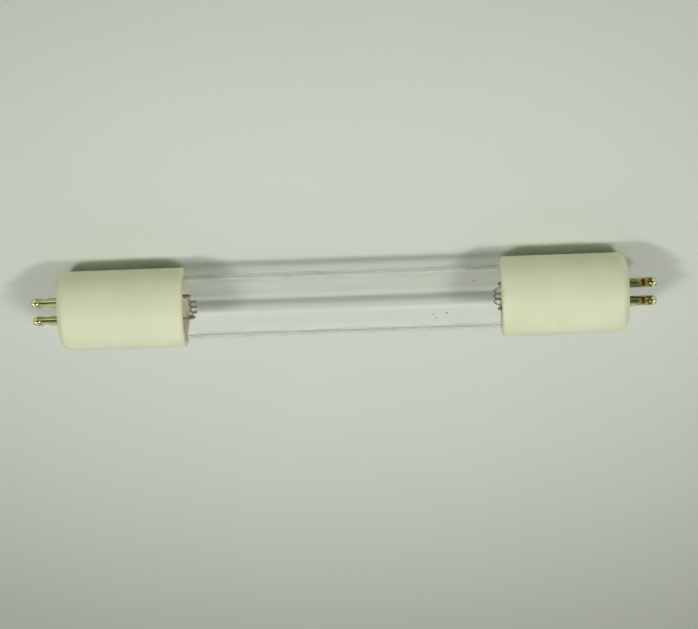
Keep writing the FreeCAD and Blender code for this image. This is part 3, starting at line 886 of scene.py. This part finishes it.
@dataclass
class CoiledElectrode:
    """One electrode: a coil of coils across two hooked posts, and the foils that feed them.

    The primary wire is drawn coarser than a real one, so that its winding shows.
    """

    lamp: LampFrame
    side: Side
    reach: float
    shorts: tuple[float, float]
    coil_diameter: float = 1.85
    coil_wire: float = 0.4
    pitch: float = 1.4
    turns: float = 2.5
    post_spacing: float = 6.0
    post_diameter: float = 0.6
    tail_in_hook: float = 0.45
    tail_past_post: float = 0.5
    primary_wire: float = 0.1
    primary_pitch: float = 0.135
    steps_per_turn: int = 48
    bend_steps: int = 12
    points_per_lap: int = 14
    wire_sides: int = 7

    def path(self) -> list[Vector]:
        """The line that the coiled wire follows, in the end's own frame.

        Returns:
            Its points: a straight tail, a bend, the helix, a bend and the other tail.
        """
        radius = (self.coil_diameter - self.coil_wire) / 2
        half = self.turns * self.pitch / 2
        x = self.lamp.base_length + self.reach
        post, hook = self.post_spacing / 2, (self.post_diameter + self.coil_wire) / 2
        bent, tip = post - self.tail_in_hook, post + self.tail_past_post
        run = (bent - half) / 2
        lead = self.pitch / math.tau
        helix = []
        for step in range(round(self.turns * self.steps_per_turn) + 1):
            angle = math.tau * step / self.steps_per_turn
            across = Vector((math.sin(angle), 0, -math.cos(angle))) * radius
            helix.append(Vector((x, lead * angle - half, 0)) + across)
        way_in = Vector((radius, lead, 0)).normalized()
        way_out = Vector((-radius, lead, 0)).normalized()
        low, high = (x - short for short in self.shorts)
        tail_in, tail_out = Vector((low, -bent, -hook)), Vector((high, bent, hook))
        along = Vector((0, run, 0))
        bend_in = self.bend(tail_in, tail_in + along, helix[0] - way_in * run, helix[0])
        bend_out = self.bend(helix[-1], helix[-1] + way_out * run, tail_out - along, tail_out)
        start, finish = Vector((low, -tip, -hook)), Vector((high, tip, hook))
        return [start, *bend_in, *helix[1:-1], *bend_out, finish]

    def bend(self, first: Vector, second: Vector, third: Vector, last: Vector) -> list[Vector]:
        """Follows the Bezier curve with these four poles.

        Args:
            first: Where the curve begins.
            second: The pole that it leaves towards.
            third: The pole that it arrives from.
            last: Where it ends.

        Returns:
            Points on the curve, with both ends.
        """
        points = []
        for step in range(self.bend_steps + 1):
            share = step / self.bend_steps
            rest = 1 - share
            points.append(
                first * rest ** 3 + second * (3 * rest ** 2 * share)
                + third * (3 * rest * share ** 2) + last * share ** 3
            )
        return points

    def winding_tree(self) -> bpy.types.NodeTree:
        """Makes the tree that winds a fine wire closely round the curve that it is given.

        Returns:
            The tree, which both coils share.
        """
        found = bpy.data.node_groups.get("primary_winding")
        if found is not None:
            return found
        tree, given, made = new_tree("primary_winding", {
            "Mandrel Radius": 0.0, "Wire Radius": 0.0, "Pitch": 0.0, "Point Spacing": 0.0,
        })
        fine = add_node(tree, "GeometryNodeResampleCurve", {
            "Curve": given.outputs["Geometry"], "Length": given.outputs["Point Spacing"],
        }, mode="LENGTH")
        even = add_node(tree, "GeometryNodeSetCurveNormal", {"Curve": fine.outputs["Curve"]})
        along = add_node(tree, "GeometryNodeSplineParameter")
        laps = add_node(tree, "ShaderNodeMath", {
            0: along.outputs["Length"], 1: given.outputs["Pitch"],
        }, operation="DIVIDE")
        angle = add_node(tree, "ShaderNodeMath", {
            0: laps.outputs["Value"], 1: math.tau,
        }, operation="MULTIPLY")
        tangent = add_node(tree, "GeometryNodeInputTangent")
        normal = add_node(tree, "GeometryNodeInputNormal")
        turned = add_node(tree, "ShaderNodeVectorRotate", {
            "Vector": normal.outputs["Normal"], "Axis": tangent.outputs["Tangent"],
            "Angle": angle.outputs["Value"],
        })
        offset = add_node(tree, "ShaderNodeVectorMath", {
            0: turned.outputs["Vector"], "Scale": given.outputs["Mandrel Radius"],
        }, operation="SCALE")
        wound = add_node(tree, "GeometryNodeSetPosition", {
            "Geometry": even.outputs["Curve"], "Offset": offset.outputs["Vector"],
        })
        section = add_node(tree, "GeometryNodeCurvePrimitiveCircle", {
            "Resolution": self.wire_sides, "Radius": given.outputs["Wire Radius"],
        })
        wire = add_node(tree, "GeometryNodeCurveToMesh", {
            "Curve": wound.outputs["Geometry"], "Profile Curve": section.outputs["Curve"],
            "Fill Caps": True,
        })
        real = add_node(tree, "GeometryNodeRealizeInstances", {"Geometry": wire.outputs["Mesh"]})
        coated = add_node(tree, "GeometryNodeSetMaterial", {
            "Geometry": real.outputs["Geometry"], "Material": TUNGSTEN.material(),
        })
        tree.links.new(coated.outputs["Geometry"], made.inputs["Geometry"])
        return tree

    def build_coil(self) -> None:
        """Winds the primary wire along the coil's path, in the place of the plain coil."""
        word = self.side.word
        points = [Matrix.Scale(MM, 4) @ self.lamp.end(self.side) @ p for p in self.path()]
        curve = bpy.data.curves.new(f"coil_path_{word}", "CURVE")
        curve.dimensions = "3D"
        line = curve.splines.new("POLY")
        line.points.add(len(points) - 1)
        for point, spot in zip(line.points, points):
            point.co = (*spot, 1)
        wire = self.primary_wire / 2
        mesh = grow(bpy.data.objects.new(f"coil_path_{word}", curve), self.winding_tree(), {
            "Mandrel Radius": (self.coil_wire / 2 - wire) * MM, "Wire Radius": wire * MM,
            "Pitch": self.primary_pitch * MM,
            "Point Spacing": self.primary_pitch / self.points_per_lap * MM,
        })
        piece = place_piece(f"coiled_coil_{word}", mesh, TUNGSTEN)
        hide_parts(f"filament_{word}")

    def build(self) -> None:
        """Winds the coil and dresses the posts, foils and outer leads."""
        self.build_coil()
        for row in Row:
            dress(f"electrode_post_{self.side.word}_{row.value}", NICKEL)
            dress(f"outer_lead_{self.side.word}_{row.value}", NICKEL)
            dress(f"seal_foil_{self.side.word}_{row.value}", MOLYBDENUM)


@dataclass
class CementedBase:
    """One ceramic base with its two contact pins, and the cement that holds the tube in it."""

    lamp: LampFrame
    side: Side
    seed: int
    tube_radius: float = 7.5
    bore_radius: float = 8.0
    recess: float = 0.3
    slope: float = 0.3
    ring_steps: int = 96
    grit_radius: float = 0.11
    grit_per_mm2: float = 9.0
    least_lump: tuple[float, float, float] = (0.5, 0.5, 0.4)
    largest_lump: tuple[float, float, float] = (1.3, 1.3, 0.9)

    def grit_tree(self) -> bpy.types.NodeTree:
        """Makes the tree that strews small rough lumps on the faces that it is given.

        Returns:
            The tree, which both bases share.
        """
        found = bpy.data.node_groups.get("cement_grit")
        if found is not None:
            return found
        tree, given, made = new_tree("cement_grit", {"Density": 0.0, "Lump Radius": 0.0, "Seed": 0.0})
        spots = add_node(tree, "GeometryNodeDistributePointsOnFaces", {
            "Mesh": given.outputs["Geometry"], "Density": given.outputs["Density"],
            "Seed": given.outputs["Seed"],
        })
        ball = add_node(tree, "GeometryNodeMeshIcoSphere", {
            "Radius": given.outputs["Lump Radius"], "Subdivisions": 2,
        })
        size = add_node(tree, "FunctionNodeRandomValue", {
            "Min": self.least_lump, "Max": self.largest_lump, "Seed": given.outputs["Seed"],
        }, data_type="FLOAT_VECTOR")
        strewn = add_node(tree, "GeometryNodeInstanceOnPoints", {
            "Points": spots.outputs["Points"], "Instance": ball.outputs["Mesh"],
            "Rotation": spots.outputs["Rotation"], "Scale": size.outputs[0],
        })
        real = add_node(tree, "GeometryNodeRealizeInstances", {"Geometry": strewn.outputs["Instances"]})
        coated = add_node(tree, "GeometryNodeSetMaterial", {
            "Geometry": real.outputs["Geometry"], "Material": CEMENT.material(),
        })
        tree.links.new(coated.outputs["Geometry"], made.inputs["Geometry"])
        return tree

    def build_grit(self) -> None:
        """Strews grit on the ring of cement that shows in the base's mouth."""
        crest = self.lamp.base_length - self.recess
        shape = bmesh.new()
        rims = []
        for x, radius in ((crest, self.tube_radius), (crest - self.slope, self.bore_radius)):
            rim = []
            for step in range(self.ring_steps):
                angle = math.tau * step / self.ring_steps
                rim.append(shape.verts.new((x, radius * math.cos(angle), radius * math.sin(angle))))
            rims.append(rim)
        for number in range(self.ring_steps):
            after = (number + 1) % self.ring_steps
            shape.faces.new((rims[0][number], rims[0][after], rims[1][after], rims[1][number]))
        shape.transform(Matrix.Scale(MM, 4) @ self.lamp.end(self.side))
        mesh = bpy.data.meshes.new("cement_ring")
        shape.to_mesh(mesh)
        shape.free()
        base = bpy.data.objects.new("cement_ring", mesh)
        grit = grow(base, self.grit_tree(), {
            "Density": self.grit_per_mm2 / MM ** 2, "Lump Radius": self.grit_radius * MM,
            "Seed": float(self.seed),
        })
        place_piece(f"cement_grit_{self.side.word}", grit, CEMENT)

    def build(self) -> None:
        """Dresses the base, its cement and its pins, and strews the grit."""
        word = self.side.word
        dress(f"ceramic_base_{word}", STEATITE)
        dress(f"cement_{word}", CEMENT)
        for row in Row:
            dress(f"contact_pin_{word}_{row.value}", PIN_PLATING[self.side])
        self.build_grit()


@dataclass(frozen=True)
class Softbox:
    """One soft lamp that points at the model.

    Its elevation is measured from the horizon in front, over the top to the horizon behind, and
    its lean sideways from upright, both in degrees. A grid narrows its spread.
    """

    name: str
    elevation: float
    panel: tuple[float, float]
    watts: float
    lean: float = 0.0
    distance: float = 1000.0
    spread: float = 180.0

    def build(self) -> None:
        """Hangs the lamp, out of the camera's sight."""
        slant = math.radians(self.elevation)
        aside = math.tan(math.radians(self.lean)) * math.sin(slant)
        back = Vector((aside, math.cos(slant), math.sin(slant))).normalized()
        data = bpy.data.lights.new(self.name, "AREA")
        data.shape = "RECTANGLE"
        data.size, data.size_y = (side * MM for side in self.panel)
        data.energy = self.watts
        data.spread = math.radians(self.spread)
        box = bpy.data.objects.new(self.name, data)
        box.visible_camera = False
        turn = back.to_track_quat("Z", "Y").to_matrix().to_4x4()
        box.matrix_world = Matrix.Translation(back * self.distance * MM) @ turn
        bpy.context.collection.objects.link(box)


@dataclass
class Studio:
    """The floor, the softboxes to both sides, the pale room and the camera.

    Heights in the room are sines of the elevation. The dark patch covers the directions whose
    cosine to its middle passes through its span.
    """

    lamp: LampFrame
    elevation: float = 42.0
    roll: float = -1.988
    lens: float = 121.43
    sensor: float = 36.0
    distance: float = 560.3
    sideways: float = 21.33
    aim_across: float = 1.31
    aim_up: float = -3.08
    clip: tuple[float, float] = (10.0, 100000.0)
    softboxes: tuple[Softbox, ...] = (
        Softbox("left_softbox", 75.0, lean=-35.0, panel=(180.0, 250.0), watts=0.11, spread=26.0),
        Softbox("right_softbox", 75.0, lean=35.0, panel=(180.0, 250.0), watts=0.11, spread=26.0),
        Softbox("rear_fill", 140.0, distance=1200.0, panel=(1500.0, 900.0), watts=2.2),
        Softbox("front_fill", 10.0, distance=1200.0, panel=(2000.0, 400.0), watts=1.6),
    )
    fill_colour: str = "#F9F7FA"
    fill_strength: float = 0.24
    wall_colour: str = "#F4F5E8"
    wall_strength: float = 0.64
    ceiling_strength: float = 0.33
    ceiling_height: float = 0.8
    overhead_strength: float = 0.36
    overhead_span: tuple[float, float] = (0.84, 0.93)
    dark_share: float = 0.85
    dark_elevation: float = 42.0
    dark_span: tuple[float, float] = (0.87, 0.95)
    floor_size: float = 4000.0

    def build_camera(self) -> None:
        """Stands the camera where the view is taken from, above the lamp's front side."""
        slant = math.radians(self.elevation)
        centre = Vector((0, 0, self.lamp.axis_height))
        right, up = Vector((1, 0, 0)), Vector((0, math.sin(slant), -math.cos(slant)))
        back = Vector((0, math.cos(slant), math.sin(slant)))
        spot = centre + right * self.sideways + back * self.distance
        aim = centre + right * self.aim_across + up * self.aim_up
        back = (spot - aim).normalized()
        right = up.cross(back).normalized()
        up = back.cross(right)
        tilt = Matrix.Rotation(math.radians(self.roll), 3, back)
        across, upwards = tilt @ right, tilt @ up
        turn = Matrix((across, upwards, back)).transposed().to_4x4()
        data = bpy.data.cameras.new("camera")
        data.lens, data.sensor_width = self.lens, self.sensor
        data.clip_start, data.clip_end = (distance * MM for distance in self.clip)
        camera = bpy.data.objects.new("camera", data)
        camera.matrix_world = Matrix.Translation(spot * MM) @ turn
        bpy.context.collection.objects.link(camera)
        bpy.context.scene.camera = camera

    def build_room(self) -> None:
        """Surrounds the stage with an even dim fill.

        Mirrors and glass see it as pale walls, a dimmer ceiling that is bright straight overhead,
        and a dark patch of front wall, which draws the dark line along the pins.
        """
        room = bpy.data.worlds.new("pale_room")
        room.use_nodes = True
        tree = room.node_tree
        tree.nodes.clear()
        way = add_node(tree, "ShaderNodeTexCoord").outputs["Generated"]
        height = add_node(tree, "ShaderNodeSeparateXYZ", {"Vector": way})
        pale = add_node(tree, "ShaderNodeMapRange", {
            "Value": height.outputs["Z"], "From Max": self.ceiling_height,
            "To Min": self.wall_strength, "To Max": self.ceiling_strength,
        })
        overhead = add_node(tree, "ShaderNodeMapRange", {
            "Value": height.outputs["Z"], "From Min": self.overhead_span[0],
            "From Max": self.overhead_span[1], "To Max": self.overhead_strength,
        }, interpolation_type="SMOOTHSTEP")
        bright = add_node(tree, "ShaderNodeMath", {
            0: pale.outputs["Result"], 1: overhead.outputs["Result"],
        }, operation="ADD")
        front = math.radians(self.dark_elevation)
        towards = add_node(tree, "ShaderNodeVectorMath", {
            0: way, 1: (0.0, math.cos(front), math.sin(front)),
        }, operation="DOT_PRODUCT")
        lit = add_node(tree, "ShaderNodeMapRange", {
            "Value": towards.outputs["Value"], "From Min": self.dark_span[0],
            "From Max": self.dark_span[1], "To Min": 1.0, "To Max": 1.0 - self.dark_share,
        }, interpolation_type="SMOOTHSTEP")
        strength = add_node(tree, "ShaderNodeMath", {
            0: bright.outputs["Value"], 1: lit.outputs["Result"],
        }, operation="MULTIPLY")
        path = add_node(tree, "ShaderNodeLightPath")
        mirrored = add_node(tree, "ShaderNodeMath", {
            0: path.outputs["Is Glossy Ray"], 1: path.outputs["Is Transmission Ray"],
        }, operation="MAXIMUM")
        seen = add_node(tree, "ShaderNodeMath", {
            0: mirrored.outputs["Value"], 1: path.outputs["Is Camera Ray"],
        }, operation="MAXIMUM")
        fill = add_node(tree, "ShaderNodeBackground", {
            "Color": linear(self.fill_colour), "Strength": self.fill_strength,
        })
        walls = add_node(tree, "ShaderNodeBackground", {
            "Color": linear(self.wall_colour), "Strength": strength.outputs["Value"],
        })
        air = add_node(tree, "ShaderNodeMixShader", {
            0: seen.outputs["Value"], 1: fill.outputs["Background"], 2: walls.outputs["Background"],
        })
        add_node(tree, "ShaderNodeOutputWorld", {"Surface": air.outputs["Shader"]})
        bpy.context.scene.world = room

    def build_floor(self) -> None:
        """Lays the paper that the lamp lies on."""
        shape = bmesh.new()
        bmesh.ops.create_grid(shape, x_segments=4, y_segments=4, size=self.floor_size / 2 * MM)
        mesh = bpy.data.meshes.new("floor")
        shape.to_mesh(mesh)
        shape.free()
        mesh.materials.append(PAPER.material())
        floor = bpy.data.objects.new("floor", mesh)
        bpy.context.collection.objects.link(floor)

    def build(self) -> None:
        """Sets the camera, the lamps, the room and the floor, and the plain view transform."""
        self.build_camera()
        for softbox in self.softboxes:
            softbox.build()
        self.build_room()
        self.build_floor()
        bpy.context.scene.view_settings.view_transform = "Standard"


def main() -> None:
    """Builds the studio and every sub-assembly of the lamp, in order."""
    logging.basicConfig(level=logging.INFO, format="%(message)s")
    lamp = LampFrame()
    Studio(lamp).build()
    QuartzTube(lamp).build()
    for seed, side in enumerate(Side, start=1):
        CementedBase(lamp, side, seed).build()
    CoiledElectrode(lamp, Side.LEFT, reach=1.7, shorts=(0.5, 1.1)).build()
    CoiledElectrode(lamp, Side.RIGHT, reach=0.8, shorts=(0.9, 0.8)).build()
    dress("mercury_droplets", MERCURY)


if __name__ == "__main__":
    main()
